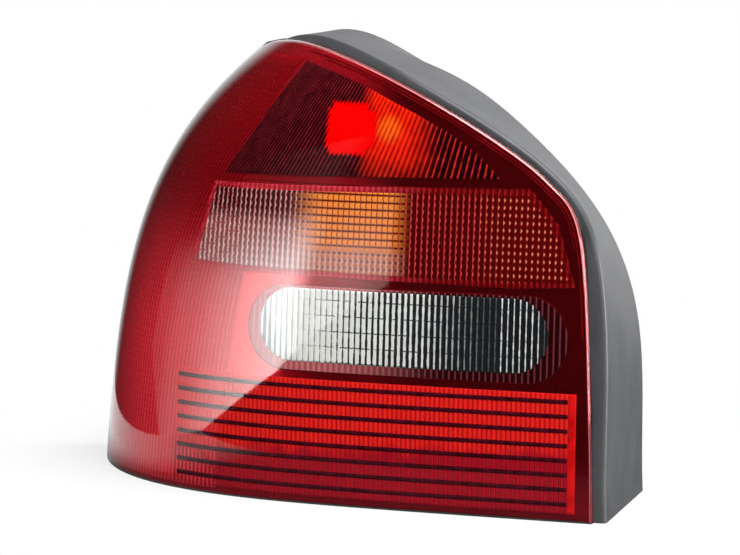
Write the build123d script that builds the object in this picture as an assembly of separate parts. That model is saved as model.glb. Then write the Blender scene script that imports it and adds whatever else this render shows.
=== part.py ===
"""Tail light cluster for the left rear corner of a car, in millimetres.

X points towards the middle of the car, Y points forward into the body and Z points up.
The lens is a flat front that wraps round the car's outer corner at the left.
"""
from build123d import *
import math
import os

# Lens surface: each level section is one curve, from the flat front at the right to the side at the left.
LENS_HEIGHT = 278.0
FRONT_END = 15.0
WRAP_START = -220.0
CORNER_X = -365.0
CORNER_Y = 20.0
SIDE_X = -372.0
SIDE_Y = 172.0
LOW_DRIFT = 32.3
HIGH_DRIFT = 77.8
TOP_LEAN = 27.0
SIDE_SHARE = 0.8
SECTION_HEIGHTS = [-0.05, 0.18, 0.38, 0.56, 0.72, 0.86, 0.97, 1.08]
LAMP_DEPTH = 240.0

# Outline of the lens in front view, from its lower right corner up and over to the left.
LENS_EDGE = [(1.5, 0.0), (0.0, 57.0), (-4.7, 139.0), (-12.4, 180.0), (-29.3, 200.5), (-57.5, 220.8),
             (-107.0, 247.8), (-156.0, 267.5), (-201.0, 277.0), (-240.0, 277.0), (-280.0, 267.0)]
OUTER_LIMIT = -420.0
LENS_WALL = 3.0
RIM_WALL = 2.5
RIM_DEPTH = 5.0
EDGE_ROUND = 1.8
SIDE_END = 150.0
SEALANT = 0.8
FIT = 0.05

# Windows in the red lens, in front view.
TURN_WINDOW = [(-264.0, 144.0), (-253.0, 189.0), (-42.5, 193.6), (-25.7, 174.2), (-16.0, 143.0),
               (-47.0, 141.3)]
REVERSE_LEFT = -221.0
REVERSE_RIGHT = -15.0
REVERSE_BOTTOM = 82.0
REVERSE_TOP = 133.6
OVERLAP = 3.4
PANEL = 3.2

# Flutes on the inside of the inserts and stripe ribs on the inside of the red lens.
FLUTE_DEPTH = 1.1
TURN_PITCH = 3.65
REVERSE_PITCH = 3.8
STOP_TRIANGLE = [(-196.0, 268.0), (-248.0, 199.0), (-62.0, 202.4)]
TAIL_LEFT = -274.0
TAIL_RIGHT = -9.0
TAIL_BOTTOM = 7.4
TAIL_TOP = 77.5
STRIPE_COUNT = 8
STRIPE_FIRST = 11.0
STRIPE_PITCH = 8.75
STRIPE_THICKNESS = 2.2
STRIPE_DEPTH = 4.5
STRIPE_INSET = 4.0

# Housing: outlines of its walls carried on to the lens's front, at the rear wall and at the skirt's end.
# The front one stands out past the lens as a shoulder, and the other two have a rounder upper corner.
HOUSING_WALL = 2.5
SHOULDER_EDGE = [(9.4, 0.0), (9.0, 57.2), (6.0, 141.9), (-5.6, 186.0), (-23.8, 206.5), (-51.9, 225.7),
                 (-103.7, 251.9), (-153.6, 274.2), (-201.0, 282.4), (-240.0, 279.0), (-280.0, 269.0)]
REAR_EDGE = [(4.8, 0.0), (4.1, 57.0), (-4.0, 130.0), (-18.0, 163.0), (-38.0, 191.0), (-67.0, 220.0),
             (-109.0, 251.5), (-156.0, 271.0), (-201.0, 281.6), (-242.0, 277.0), (-283.0, 267.0)]
SKIRT_EDGE = [(0.0, 0.0), (-1.0, 57.0), (-10.0, 127.0), (-24.0, 159.0), (-46.0, 186.0), (-78.0, 215.0),
              (-118.0, 243.0), (-158.0, 265.3), (-205.0, 282.6), (-240.0, 273.5), (-280.0, 258.0)]
SHOULDER_ROUND = 2.5
REAR = 112.0
SKIRT_REAR = 153.0
SKIRT_REACH = 1.25
SKIRT_START = -128.0
POCKET_X = -238.0
OPEN_DEPTH = 60.0

# Bulbs, from the top down, and the carrier that holds them in the rear wall.
BULB_X = -165.0
BULB_HEIGHTS = {"stop": 222.0, "turn": 165.0, "reverse": 108.0, "tail": 44.0}
GLOBE_RADIUS = 12.5
GLASS = 0.8
NECK_IN_CAP = 5.0
PINCH = 2.0
GLOBE_STANDOFF = 16.0
CAP_RADIUS = 7.5
CAP_WALL = 0.6
CAP_LENGTH = 18.0
CAP_FLOOR = 2.0
DOME_RADIUS = 3.0
DOME_HEIGHT = 1.5
BAYONET_RADIUS = 1.0
BAYONET_REACH = 1.2
BAYONET_PLACE = 7.0
WIRE_RADIUS = 0.4
WIRE_SPREAD = 3.0
COIL_RADIUS = 0.8

OPENING_HALF_WIDTH = 33.0
OPENING_MARGIN = 18.0
OPENING_ROUND = 8.0
CARRIER_PLATE = 3.0
CARRIER_LIP = 6.0
COLLAR_WALL = 2.0
COLLAR_DEPTH = 10.0
COLLAR_GAP = 0.4
SEAL_THICKNESS = 2.0
SOCKET_WALL = 2.4
SOCKET_GAP = 0.2
SOCKET_LENGTH = 18.0
HOOK_WIDTH = 14.0
HOOK_HEIGHT = 3.0
HOOK_REACH = 1.6
BODY_SEAL_GAP = 2.5
BODY_SEAL_WIDTH = 7.0
BODY_SEAL_THICKNESS = 8.0

# Contact strips on the carrier and the plug connector behind it.
STRIP = 0.6
STRIP_WIDTH = 3.0
STRIP_RUN = 17.0
STRIP_TURN = 10.0
STRIP_BEND = 14.0
TAB_REACH = 5.0
PIN_PITCH = 6.0
PIN_WIDTH = 2.0
PIN_THICKNESS = 0.8
PIN_LENGTH = 13.0
SHROUD_WALL = 2.0
SHROUD_HEIGHT = 16.0
SHROUD_MARGIN = 5.0
SHROUD_DEPTH = 20.0

# Reflector: a plate that follows the lens, with a bowl round each bulb.
REFLECTOR_GAP = 1.8
REFLECTOR_WALL = 1.6
REFLECTOR_MARGIN = 5.0
BOWL_REAR = 92.0
BOWL_STEPS = [0.5, 1.0]
BOWL_POWER = 1.6
THROAT_SHARES = {"stop": (0.6, 0.6), "turn": (0.3, 0.72), "reverse": (0.34, 0.72), "tail": (0.26, 0.6)}
BULB_HOLE = 14.0
COLUMN_RADIUS = 4.5
COLUMN_PLACES = [(-60.0, 137.5), (-90.0, 79.8), (-226.0, 137.5), (-226.0, 79.8)]
SCREW_RADIUS = 1.9
SCREW_LENGTH = 14.0
SCREW_HEAD_RADIUS = 3.6
SCREW_HEAD = 2.4

# Mounting studs and the vent.
STUD_RADIUS = 3.0
STUD_LENGTH = 22.0
STUD_GRIP = 12.0
STUD_FLANGE_RADIUS = 7.0
STUD_FLANGE = 2.0
BOSS_RADIUS = 8.0
STUD_PLACES = [(-18.0, REAR, 40.0), (-48.0, REAR, 165.0), (-292.0, SKIRT_REAR, 60.0)]
VENT_PLACE = (-30.0, 100.0)
VENT_RADIUS = 9.0
VENT_HEIGHT = 8.0
VENT_SPIGOT = 4.0
VENT_BORE = 2.0

# Setbacks from the lens surface, and places along Y of the carrier's plate and the bulbs' caps.
SEAT = RIM_DEPTH + SEALANT
PLATE_SETBACK = SEAT + HOUSING_WALL + REFLECTOR_GAP
PLATE_FRONT = REAR + SEAL_THICKNESS
CAP_REAR = PLATE_FRONT - STRIP - DOME_HEIGHT


def drift(height):
    """How far the wrapped side has moved inboard at one height."""
    share = max(height, 0.0) / LENS_HEIGHT
    return LOW_DRIFT * share ** 1.2 + HIGH_DRIFT * share ** 4.3


def lean(height):
    """How far the front has moved forward at one height."""
    return TOP_LEAN * (max(height, 0.0) / LENS_HEIGHT) ** 2


def front_curve(height):
    """Level curve of the lens surface at one height."""
    side, back = drift(height), lean(height)
    points = [(FRONT_END, 0), (WRAP_START + side, 0), (WRAP_START + side, 0),
              (CORNER_X + side, CORNER_Y), (SIDE_X + side, SIDE_Y)]
    return Bezier(*[(x, y + back, height) for x, y in points])


def level_section(height):
    """Closed level section of everything behind the lens surface."""
    curve = front_curve(height)
    start, end = curve @ 0, curve @ 1
    corners = [end, (end.X, LAMP_DEPTH, height), (start.X, LAMP_DEPTH, height), start]
    return make_face([curve, Polyline(*corners)])


SURFACE_BODY = loft([level_section(share * LENS_HEIGHT) for share in SECTION_HEIGHTS])


def behind(setback):
    """Everything more than the setback behind the lens surface."""
    return SURFACE_BODY.moved(Location((SIDE_SHARE * setback, setback, 0)))


def grown(points, amount):
    """Moves an open outline outward, where it is walked from the lower right up and over to the left."""
    result = []
    for index, (x, z) in enumerate(points):
        before = points[max(index - 1, 0)]
        after = points[min(index + 1, len(points) - 1)]
        run, rise = after[0] - before[0], after[1] - before[1]
        length = math.hypot(run, rise)
        result.append((x + amount * rise / length, z - amount * run / length))
    return [(result[0][0], points[0][1])] + result[1:]


def outline_face(points, y):
    """Upright face under an open outline, down to its first point's height and out to the left."""
    edge = Spline(*[(x, y, z) for x, z in points])
    first, last = points[0], points[-1]
    corners = [last, (OUTER_LIMIT, last[1]), (OUTER_LIMIT, first[1]), first]
    return make_face([edge, Polyline(*[(x, y, z) for x, z in corners])])


def above(floor):
    """Everything over one height."""
    size = 4 * LENS_HEIGHT
    return Box(size, size, size, align=(Align.CENTER, Align.CENTER, Align.MIN)).moved(Location((0, 0, floor)))


def outline_block(points, start, end):
    """Block of an outline along Y."""
    return extrude(outline_face(points, start), amount=end - start, dir=(0, 1, 0))


def window_block(points, grow=0.0):
    """Block of a closed window outline along Y, with its sides moved outward."""
    face = make_face(Polyline(*[(x, 0, z) for x, z in points], close=True))
    if grow:
        face = offset(face, amount=grow, kind=Kind.INTERSECTION)
    return extrude(face, amount=LAMP_DEPTH, dir=(0, 1, 0))


def stadium_block(grow=0.0):
    """Block of the reverse light's round-ended window along Y."""
    width = REVERSE_RIGHT - REVERSE_LEFT + 2 * grow
    height = REVERSE_TOP - REVERSE_BOTTOM + 2 * grow
    centre = ((REVERSE_LEFT + REVERSE_RIGHT) / 2, 0, (REVERSE_BOTTOM + REVERSE_TOP) / 2)
    return extrude(upright(centre) * SlotOverall(width, height), amount=LAMP_DEPTH, dir=(0, 1, 0))


def upright(centre):
    """Plane that faces the front, with its own x along X and its own y along Z."""
    return Plane(origin=centre, x_dir=(1, 0, 0), z_dir=(0, -1, 0))


def comb(low, high, left, right, setback, pitch):
    """Everything behind a row of vee flutes that follows the lens surface between two heights."""
    curve = front_curve(low)
    count = round(curve.length / pitch)
    shift = Vector(SIDE_SHARE * setback, setback, 0)
    teeth = []
    for step in range(2 * count + 1):
        point = curve.position_at(step / (2 * count)) + shift
        if left < point.X < right:
            teeth.append(point + Vector(0, -FLUTE_DEPTH if step % 2 else 0, 0))
    depth = 2 * LAMP_DEPTH
    face = make_face(Polyline(*teeth, (teeth[-1].X, depth, low), (teeth[0].X, depth, low), close=True))
    way = Vector(drift(high) - drift(low), lean(high) - lean(low), high - low)
    return extrude(face, amount=way.length, dir=way)


def insert_lens(block, low, high, left, right, pitch):
    """A coloured window: a plug flush with the red lens on a fluted panel that runs on behind it."""
    margin = OVERLAP + 3 * pitch
    plug = block(-FIT) & behind(0)
    panel = block(OVERLAP) & behind(LENS_WALL + FIT)
    low, high = low - margin, high + margin
    left = left - margin - drift(high) + drift(low)
    return plug + panel - comb(low, high, left, right + margin, LENS_WALL + PANEL, pitch)


def turn_lens():
    sides = [x for x, z in TURN_WINDOW]
    levels = [z for x, z in TURN_WINDOW]
    return insert_lens(lambda grow: window_block(TURN_WINDOW, grow), min(levels), max(levels),
                       min(sides), max(sides), TURN_PITCH)


def reverse_lens():
    return insert_lens(stadium_block, REVERSE_BOTTOM, REVERSE_TOP, REVERSE_LEFT, REVERSE_RIGHT, REVERSE_PITCH)


def stripes():
    """The tail light's dark level ribs on the inside of the red lens."""
    width = TAIL_RIGHT - TAIL_LEFT - 2 * STRIPE_INSET
    centre = (TAIL_LEFT + TAIL_RIGHT) / 2
    levels = [STRIPE_FIRST + index * STRIPE_PITCH for index in range(STRIPE_COUNT)]
    faces = [upright((centre, 0, level)) * Rectangle(width, STRIPE_THICKNESS) for level in levels]
    ribs = Part() + [extrude(face, amount=LAMP_DEPTH, dir=(0, 1, 0)) for face in faces]
    return ribs & behind(LENS_WALL / 2) - behind(LENS_WALL + STRIPE_DEPTH)


def front_edges(body):
    """The long edges between a body's front face and its walls beside and over the lens."""
    found = []
    for edge in body.edges():
        middle = edge @ 0.5
        if edge.length > LENS_HEIGHT and middle.Z > RIM_WALL and middle.Y < OPEN_DEPTH:
            found.append(edge)
    return found


def outer_lens():
    """The red shell: a skin with a rim round its edge, open where the other colours show."""
    shell = outline_block(LENS_EDGE, -LAMP_DEPTH, SIDE_END) & behind(0)
    shell = fillet(front_edges(shell), EDGE_ROUND)
    hollow = outline_block(grown(LENS_EDGE, -RIM_WALL), -LAMP_DEPTH, LAMP_DEPTH) & above(RIM_WALL)
    shell = shell - (hollow & behind(LENS_WALL)) - behind(RIM_DEPTH)
    return shell - window_block(TURN_WINDOW) - stadium_block() + stripes()


def lens_sealant():
    """Bead between the rim's end and the housing."""
    ring = outline_block(LENS_EDGE, -LAMP_DEPTH, SIDE_END)
    ring = ring - (outline_block(grown(LENS_EDGE, -RIM_WALL), -2 * LAMP_DEPTH, LAMP_DEPTH) & above(RIM_WALL))
    return ring & behind(RIM_DEPTH + FIT) - behind(SEAT - FIT)


def skirt_block(inset):
    """Block behind the rear wall's outline, carried on past the skirt's end."""
    start, end = grown(REAR_EDGE, -inset), grown(SKIRT_EDGE, -inset)
    far = [(x + SKIRT_REACH * (u - x), z + SKIRT_REACH * (w - z)) for (x, z), (u, w) in zip(start, end)]
    return loft([outline_face(start, REAR), outline_face(far, REAR + SKIRT_REACH * (SKIRT_REAR - REAR))])


def housing_body(inset, deep_end):
    """Block of the housing: a loft to the rear outline, and the deeper part outboard of one place."""
    front_edge, rear_edge = grown(SHOULDER_EDGE, -inset), grown(REAR_EDGE, -inset)
    main = loft([outline_face(front_edge, 0), outline_face(rear_edge, REAR)])
    deep = main + (skirt_block(inset) - behind_plane(SKIRT_REAR - inset))
    return (main - behind_plane(REAR - inset) + (deep & outboard_of(deep_end))) & above(inset)


def behind_plane(y):
    """Everything behind one depth."""
    size = 4 * LAMP_DEPTH
    return Box(size, size, size, align=(Align.CENTER, Align.MIN, Align.CENTER)).moved(Location((0, y, 0)))


def outboard_of(x):
    """Everything to the left of one place."""
    size = 4 * LAMP_DEPTH
    return Box(size, size, size, align=(Align.MAX, Align.CENTER, Align.CENTER)).moved(Location((x, 0, 0)))


def carrier_face(grow, y):
    """Upright rounded rectangle of the carrier's opening, moved outward."""
    low = BULB_HEIGHTS["tail"] - OPENING_MARGIN
    high = BULB_HEIGHTS["stop"] + OPENING_MARGIN
    size = (2 * (OPENING_HALF_WIDTH + grow), high - low + 2 * grow)
    return upright((BULB_X, y, (low + high) / 2)) * RectangleRounded(*size, OPENING_ROUND + grow)


def carrier_block(grow, start, end):
    """Block of the carrier's opening along Y."""
    return extrude(carrier_face(grow, start), amount=end - start, dir=(0, 1, 0))


def rod(x, z, radius, start, end):
    """Round bar along Y."""
    return extrude(upright((x, start, z)) * Circle(radius), amount=end - start, dir=(0, 1, 0))


def slab(x, z, width, height, start, end):
    """Rectangular bar along Y, centred on one place in front view."""
    return extrude(upright((x, start, z)) * Rectangle(width, height), amount=end - start, dir=(0, 1, 0))


def housing():
    """The grey shell behind the lens, with its rear wall, skirt, stud bosses and the carrier's opening."""
    body = housing_body(0, SKIRT_START) & behind(SEAT)
    body = fillet(front_edges(body), SHOULDER_ROUND)
    cavity = housing_body(HOUSING_WALL, POCKET_X - HOUSING_WALL)
    shell = body - (cavity & behind(SEAT + HOUSING_WALL))
    opening = outline_block(grown(LENS_EDGE, -RIM_WALL), -LAMP_DEPTH, OPEN_DEPTH) & above(RIM_WALL)
    shell = shell - (opening & behind(0) - behind(SEAT + 2 * HOUSING_WALL))
    recess = skirt_block(HOUSING_WALL) & above(HOUSING_WALL)
    shell = shell - (recess - outboard_of(POCKET_X))
    lip = outline_block(LENS_EDGE, SIDE_END + FIT, SKIRT_REAR) & behind(0) - behind(SEAT + HOUSING_WALL)
    flange = outline_block(grown(LENS_EDGE, -RIM_WALL / 2), OPEN_DEPTH, SKIRT_REAR)
    flange = flange & behind(SEAT) - behind(SEAT + HOUSING_WALL)
    shell = shell + ((lip + flange) & outboard_of(POCKET_X))
    for x, y, z in STUD_PLACES:
        shell = shell + rod(x, z, BOSS_RADIUS, y - HOUSING_WALL - STUD_GRIP, y - HOUSING_WALL / 2)
        shell = shell - rod(x, z, STUD_RADIUS + FIT, y - STUD_GRIP - FIT, y + FIT)
    for x, z in COLUMN_PLACES:
        shell = shell - rod(x, z, SCREW_RADIUS + 4 * FIT, REAR - 2 * HOUSING_WALL, REAR + FIT)
    shell = shell - rod(*VENT_PLACE, VENT_SPIGOT + FIT, REAR - 2 * HOUSING_WALL, REAR + FIT)
    return shell - carrier_block(0, REAR - 2 * HOUSING_WALL, REAR + FIT)


def shape(points, y, grow=0.0):
    """Upright face of a closed outline, with its sides moved outward."""
    face = make_face(Polyline(*[(x, y, z) for x, z in points], close=True))
    return offset(face, amount=grow, kind=Kind.INTERSECTION) if grow else face


def box_corners(left, right, bottom, top):
    return [(left, bottom), (left, top), (right, top), (right, bottom)]


BOWL_MOUTHS = {
    "stop": STOP_TRIANGLE,
    "turn": TURN_WINDOW,
    "reverse": box_corners(REVERSE_LEFT, REVERSE_RIGHT, REVERSE_BOTTOM, REVERSE_TOP),
    "tail": box_corners(TAIL_LEFT, TAIL_RIGHT, TAIL_BOTTOM, TAIL_TOP),
}


def bowl(name, grow, rear):
    """Block of one reflector bowl, from its window at the lens to a throat round its bulb."""
    mouth = BOWL_MOUTHS[name]
    across, upward = THROAT_SHARES[name]
    centre = shape(mouth, 0).center()
    faces = [shape(mouth, 0, grow)]
    for depth_share in BOWL_STEPS:
        narrowing = depth_share ** BOWL_POWER
        x = centre.X + (BULB_X - centre.X) * narrowing
        z = centre.Z + (BULB_HEIGHTS[name] - centre.Z) * narrowing
        wide = 1 - (1 - across) * narrowing
        tall = 1 - (1 - upward) * narrowing
        corners = [(x + wide * (px - centre.X), z + tall * (pz - centre.Z)) for px, pz in mouth]
        faces.append(shape(corners, depth_share * rear, grow))
    return loft(faces)


def reflector():
    """Metallised insert: a plate behind the lens with a bowl round each bulb, on four screw columns."""
    margin = REFLECTOR_MARGIN
    plate = outline_block(grown(LENS_EDGE, -margin), 0, LAMP_DEPTH) & above(margin)
    plate = plate - behind_plane(OPEN_DEPTH) & behind(PLATE_SETBACK) - behind(PLATE_SETBACK + REFLECTOR_WALL)
    solid = Part() + [bowl(name, REFLECTOR_WALL, BOWL_REAR + REFLECTOR_WALL) for name in BULB_HEIGHTS]
    foot = REAR - HOUSING_WALL
    solid = solid + [rod(x, z, COLUMN_RADIUS, 0, foot) for x, z in COLUMN_PLACES]
    solid = plate + (solid & behind(PLATE_SETBACK))
    for name, height in BULB_HEIGHTS.items():
        solid = solid - bowl(name, 0, BOWL_REAR) - rod(BULB_X, height, BULB_HOLE, 0, REAR - HOUSING_WALL)
    return solid - [rod(x, z, SCREW_RADIUS + FIT, foot - SCREW_LENGTH, foot + FIT) for x, z in COLUMN_PLACES]


def reflector_screws():
    screws = []
    for x, z in COLUMN_PLACES:
        shank = rod(x, z, SCREW_RADIUS, REAR - HOUSING_WALL - SCREW_LENGTH + HOUSING_WALL, REAR)
        screws.append(shank + rod(x, z, SCREW_HEAD_RADIUS, REAR, REAR + SCREW_HEAD))
    return Compound(children=screws)


def bulb(height):
    """One bayonet bulb, pointing to the front: its glass, its cap and its filament."""
    facing = Location((BULB_X, CAP_REAR, height), (90, 0, 0))
    low = (Align.CENTER, Align.CENTER, Align.MIN)
    bore = Cylinder(CAP_RADIUS - CAP_WALL, CAP_LENGTH, align=low).moved(Location((0, 0, CAP_FLOOR)))
    dome = Cylinder(DOME_RADIUS, DOME_HEIGHT, align=(Align.CENTER, Align.CENTER, Align.MAX))
    pins = Cylinder(BAYONET_RADIUS, 2 * (CAP_RADIUS + BAYONET_REACH), rotation=(90, 0, 0))
    pins = pins.moved(Location((0, 0, BAYONET_PLACE)))
    cap = Cylinder(CAP_RADIUS, CAP_LENGTH, align=low) + pins - bore + dome

    foot = CAP_LENGTH - NECK_IN_CAP
    middle = CAP_LENGTH + GLOBE_STANDOFF
    neck_radius = CAP_RADIUS - CAP_WALL - FIT
    neck = Cylinder(neck_radius, middle - foot, align=low).moved(Location((0, 0, foot)))
    void = Cylinder(neck_radius - GLASS, middle - foot, align=low).moved(Location((0, 0, foot + PINCH)))
    centre = Location((0, 0, middle))
    glass = neck + Sphere(GLOBE_RADIUS).moved(centre) - void - Sphere(GLOBE_RADIUS - GLASS).moved(centre)

    filament = Cylinder(COIL_RADIUS, 2 * WIRE_SPREAD, rotation=(0, 90, 0)).moved(centre)
    for side in (-WIRE_SPREAD, WIRE_SPREAD):
        place = Location((side, 0, CAP_FLOOR))
        filament = filament + Cylinder(WIRE_RADIUS, middle - CAP_FLOOR, align=low).moved(place)
        glass = glass - Cylinder(WIRE_RADIUS + FIT, foot, align=low).moved(place)
    return {"glass": glass.moved(facing), "cap": cap.moved(facing), "filament": filament.moved(facing)}


def run(points, width, start, end):
    """Flat strip of one width along a route of level and upright stretches in front view."""
    parts = []
    for (x1, z1), (x2, z2) in zip(points, points[1:]):
        centre = (BULB_X + (x1 + x2) / 2, (z1 + z2) / 2)
        parts.append(slab(*centre, abs(x2 - x1) + width, abs(z2 - z1) + width, start, end))
    return Part() + parts


STOP_Z, TURN_Z, REVERSE_Z, TAIL_Z = BULB_HEIGHTS.values()
CONNECTOR_Z = (TURN_Z + REVERSE_Z) / 2
OVER = CONNECTOR_Z + STRIP_TURN
UNDER = CONNECTOR_Z - STRIP_TURN
BEND = CONNECTOR_Z - STRIP_BEND
ROUTES = {
    "stop": [(0, STOP_Z), (STRIP_RUN, STOP_Z), (STRIP_RUN, OVER), (PIN_PITCH, OVER),
             (PIN_PITCH, CONNECTOR_Z)],
    "turn": [(0, TURN_Z), (0, CONNECTOR_Z)],
    "reverse": [(0, REVERSE_Z), (0, BEND), (-PIN_PITCH, BEND), (-PIN_PITCH, CONNECTOR_Z)],
    "tail": [(0, TAIL_Z), (STRIP_RUN, TAIL_Z), (STRIP_RUN, UNDER), (2 * PIN_PITCH, UNDER),
             (2 * PIN_PITCH, CONNECTOR_Z)],
}
PIN_PLACES = [PIN_PITCH * step for step in (-2, -1, 0, 1, 2)]


def ground_strip(gap=0.0):
    """Common strip along the sockets, with a tab up the side of each cap."""
    width = STRIP_WIDTH + 2 * gap
    start, end = PLATE_FRONT - STRIP - gap, PLATE_FRONT
    touch = CAP_RADIUS + FIT
    strip = run([(-STRIP_RUN, TAIL_Z), (-STRIP_RUN, STOP_Z)], width, start, end)
    strip = strip + run([(-STRIP_RUN, CONNECTOR_Z), (-2 * PIN_PITCH, CONNECTOR_Z)], width, start, end)
    for height in BULB_HEIGHTS.values():
        tab = slab(BULB_X - (STRIP_RUN + touch) / 2, height, STRIP_RUN - touch, width, start, end)
        blade_start = CAP_REAR - TAB_REACH - gap
        blade = slab(BULB_X - touch - STRIP / 2, height, STRIP + 2 * gap, width, blade_start, end)
        strip = strip + tab + blade
    return strip


def bulb_carrier():
    """Plug-in carrier: plate, collar, four sockets, two latch hooks and the connector's shroud."""
    plate_rear = PLATE_FRONT + CARRIER_PLATE
    collar_front = REAR - COLLAR_DEPTH
    carrier = carrier_block(CARRIER_LIP, PLATE_FRONT, plate_rear)
    collar = carrier_block(-COLLAR_GAP, collar_front, PLATE_FRONT)
    carrier = carrier + (collar - carrier_block(-COLLAR_GAP - COLLAR_WALL, collar_front, PLATE_FRONT))
    bore = CAP_RADIUS + SOCKET_GAP
    for height in BULB_HEIGHTS.values():
        carrier = carrier + rod(BULB_X, height, bore + SOCKET_WALL, PLATE_FRONT - SOCKET_LENGTH, PLATE_FRONT)
    for height in BULB_HEIGHTS.values():
        carrier = carrier - rod(BULB_X, height, bore, 0, PLATE_FRONT)
        pin_end = CAP_REAR - BAYONET_PLACE + BAYONET_RADIUS + SOCKET_GAP
        slot = 2 * (BAYONET_RADIUS + SOCKET_GAP)
        carrier = carrier - slab(BULB_X, height, slot, 2 * (bore + 2 * SOCKET_WALL), 0, pin_end)
    strip_room = STRIP_WIDTH + 2 * SOCKET_GAP
    for route in ROUTES.values():
        carrier = carrier - run(route, strip_room, PLATE_FRONT - STRIP - SOCKET_GAP, PLATE_FRONT)
    carrier = carrier - (ground_strip(SOCKET_GAP) - behind_plane(PLATE_FRONT))
    hook_end = REAR - HOUSING_WALL - FIT
    hook_size = (HOOK_WIDTH, 2 * (HOOK_REACH + COLLAR_GAP))
    for level, side in ((STOP_Z, 1), (TAIL_Z, -1)):
        edge = level + side * (OPENING_MARGIN - COLLAR_GAP)
        carrier = carrier + slab(BULB_X, edge, *hook_size, hook_end - HOOK_HEIGHT, hook_end)
    width = PIN_PLACES[-1] - PIN_PLACES[0] + 2 * SHROUD_MARGIN
    shroud_rear = plate_rear + SHROUD_DEPTH
    shroud = slab(BULB_X, CONNECTOR_Z, width + 2 * SHROUD_WALL, SHROUD_HEIGHT, plate_rear, shroud_rear)
    carrier = carrier + shroud
    room = SHROUD_HEIGHT - 2 * SHROUD_WALL
    carrier = carrier - slab(BULB_X, CONNECTOR_Z, width, room, plate_rear, shroud_rear)
    return carrier - connector_pins(FIT)


def connector_pins(gap=0.0):
    """Five flat pins through the carrier's plate, one on the end of each strip."""
    end = PLATE_FRONT + CARRIER_PLATE + PIN_LENGTH
    pins = [slab(BULB_X + place, CONNECTOR_Z, PIN_WIDTH + 2 * gap, PIN_THICKNESS + 2 * gap, PLATE_FRONT, end)
            for place in PIN_PLACES]
    return Part() + pins if gap else Compound(children=pins)


def carrier_seal():
    ring = carrier_block(CARRIER_LIP, REAR, PLATE_FRONT)
    return ring - carrier_block(FIT, REAR, PLATE_FRONT)


def body_seal():
    """Foam ring that the car's body presses on, round the carrier."""
    inner = CARRIER_LIP + BODY_SEAL_GAP
    end = REAR + BODY_SEAL_THICKNESS
    return carrier_block(inner + BODY_SEAL_WIDTH, REAR, end) - carrier_block(inner, REAR, end)


def mounting_studs():
    studs = []
    for x, y, z in STUD_PLACES:
        shank = rod(x, z, STUD_RADIUS, y - STUD_GRIP, y + STUD_LENGTH)
        studs.append(shank + rod(x, z, STUD_FLANGE_RADIUS, y, y + STUD_FLANGE))
    return Compound(children=studs)


def vent_cap():
    """Rubber cap over the rear wall's vent hole."""
    cap = rod(*VENT_PLACE, VENT_RADIUS, REAR, REAR + VENT_HEIGHT)
    cap = cap + rod(*VENT_PLACE, VENT_SPIGOT, REAR - 2 * HOUSING_WALL, REAR)
    return cap - rod(*VENT_PLACE, VENT_BORE, REAR - 2 * HOUSING_WALL, REAR + VENT_HEIGHT / 2)


def main():
    """Makes every piece, moves the middle of the lamp's foot to the origin and writes the files."""
    makers = [housing, outer_lens, turn_lens, reverse_lens, lens_sealant, reflector, reflector_screws,
              bulb_carrier, carrier_seal, body_seal, ground_strip, connector_pins, mounting_studs, vent_cap]
    pieces = {maker.__name__: maker() for maker in makers}
    for name, route in ROUTES.items():
        pieces[f"{name}_strip"] = run(route, STRIP_WIDTH, PLATE_FRONT - STRIP, PLATE_FRONT)
    for name, height in BULB_HEIGHTS.items():
        for part, piece in bulb(height).items():
            pieces[f"{name}_bulb_{part}"] = piece
    boxes = [piece.bounding_box() for piece in pieces.values()]
    left, right = min(box.min.X for box in boxes), max(box.max.X for box in boxes)
    front, rear = min(box.min.Y for box in boxes), max(box.max.Y for box in boxes)
    to_origin = Location((-(left + right) / 2, -(front + rear) / 2, 0))
    os.makedirs("parts", exist_ok=True)
    for name, piece in pieces.items():
        export_step(piece.moved(to_origin), f"parts/{name}.step")


if __name__ == "__main__":
    main()
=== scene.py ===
import math

import bmesh
import bpy
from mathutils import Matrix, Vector


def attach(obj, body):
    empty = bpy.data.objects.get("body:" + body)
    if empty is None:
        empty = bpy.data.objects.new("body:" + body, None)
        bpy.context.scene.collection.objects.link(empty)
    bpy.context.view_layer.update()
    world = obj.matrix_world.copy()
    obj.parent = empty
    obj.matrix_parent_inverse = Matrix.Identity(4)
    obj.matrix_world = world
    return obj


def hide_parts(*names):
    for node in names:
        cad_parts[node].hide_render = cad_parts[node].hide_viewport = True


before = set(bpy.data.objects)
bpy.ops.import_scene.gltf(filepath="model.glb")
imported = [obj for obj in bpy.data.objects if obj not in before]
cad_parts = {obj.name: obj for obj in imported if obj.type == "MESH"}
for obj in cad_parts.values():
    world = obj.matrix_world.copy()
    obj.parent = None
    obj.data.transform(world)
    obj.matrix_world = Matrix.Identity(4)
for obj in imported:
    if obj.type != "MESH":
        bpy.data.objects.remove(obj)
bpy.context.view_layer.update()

# Polished skin of the outer lens.
# Injection-moulded acrylic, clear and glossy, wrapped round the corner of the car in one sweep. Its edge
# turns back and is welded to the housing, so the studio mirrors in one sheet over the optics behind it.
LENS_HEIGHT = 278.0
FRONT_END = 15.0
WRAP_START = -220.0
CORNER = (-365.0, 20.0)
SIDE = (-371.9, 172.0)
LOW_DRIFT, HIGH_DRIFT, TOP_LEAN = 32.3, 77.8, 27.0
SIDE_SHARE = 0.8
SIDE_END = 150.0
FOOT_MIDDLE = (-180.3057, 87.4819)
LENS_EDGE = [(1.5, 0), (0, 57), (-4.7, 139), (-12.4, 180), (-29.3, 200.5), (-57.5, 220.8), (-107, 247.8),
             (-156, 267.5), (-201, 277), (-240, 277), (-280, 267)]
EDGE_ROUND, ROUND_STEPS = 1.7, 6
RIM_DEPTH = 5.0
SKIN_WALL = 0.6
SKIN_COLUMNS, SKIN_ROWS = 190, 110
BEND_HEIGHT, AROUND = 196.0, 500.0
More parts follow.
